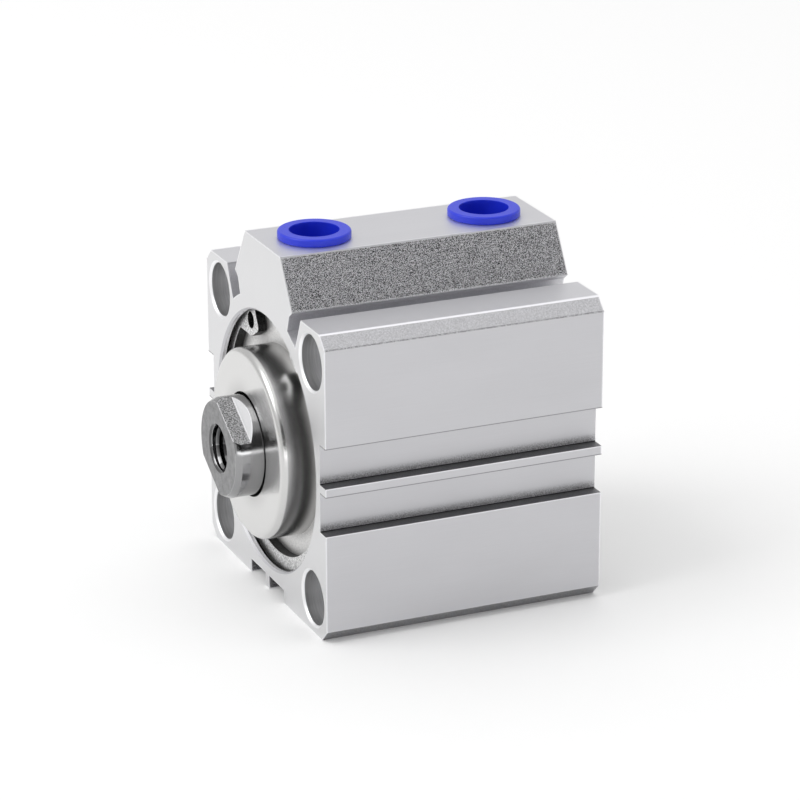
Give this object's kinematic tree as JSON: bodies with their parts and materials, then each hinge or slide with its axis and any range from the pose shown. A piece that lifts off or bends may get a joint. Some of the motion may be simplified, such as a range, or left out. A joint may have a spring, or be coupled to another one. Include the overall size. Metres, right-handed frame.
{
  "type": "compact pneumatic cylinder",
  "caption": "Compact double-acting pneumatic cylinder with a square slotted body, capped air ports on top, a round front cover held by a retaining ring and a threaded rod.",
  "frame": {"origin": "on the rod's axis, in the plane of the body's front face", "axes": "+X along the rod, out of the front; +Z towards the air ports; +Y to the side"},
  "size_m": [0.0679, 0.062, 0.0731],
  "materials": {
    "anodised_body": "satin anodised, machined ends",
    "turned_aluminium": "fine turned",
    "rod_steel": "ground and plated",
    "spring_steel": "phosphated spring steel",
    "screw_steel": "black oxide",
    "bearing_bronze": "sintered bronze",
    "magnet": "moulded magnet, matt",
    "guide_plastic": "natural plastic",
    "black_rubber": "matt",
    "blue_cap": "moulded, slightly glossy"
  },
  "bodies": {
    "barrel": {"body": "anodised_body", "front_cover": "turned_aluminium", "front_cover_o_ring": "black_rubber", "rod_bush": "bearing_bronze", "rod_seal": "black_rubber", "front_circlip": "spring_steel", "front_bumper": "black_rubber", "rear_cover": "turned_aluminium", "rear_cover_o_ring": "black_rubber", "rear_circlip": "spring_steel", "rear_bumper": "black_rubber"},
    "piston_seals": {"piston_seal": "black_rubber", "wear_ring": "guide_plastic"},
    "piston_and_rod": {"piston": "turned_aluminium", "piston_back_plate": "turned_aluminium", "piston_magnet": "magnet", "magnet_washer": "black_rubber", "piston_rod": "rod_steel", "piston_rod_o_ring": "black_rubber", "piston_screw": "screw_steel", "lock_washer": "screw_steel"},
    "front_plug": {"front_port_plug": "blue_cap"},
    "rear_plug": {"rear_port_plug": "blue_cap"}
  },
  "joints": [
    {"name": "rod_slide", "type": "slide", "parent": "barrel", "child": "piston_seals", "axis": [1, 0, 0], "range_m": [0, 0.02]},
    {"name": "rod_turn", "type": "hinge", "parent": "piston_seals", "child": "piston_and_rod", "pos_m": [0, 0, 0], "axis": [1, 0, 0], "continuous": true},
    {"name": "front_plug_pull", "type": "slide", "parent": "barrel", "child": "front_plug", "axis": [0, 0, 1], "range_m": [0, 0.012]},
    {"name": "rear_plug_pull", "type": "slide", "parent": "barrel", "child": "rear_plug", "axis": [0, 0, 1], "range_m": [0, 0.012]}
  ]
}
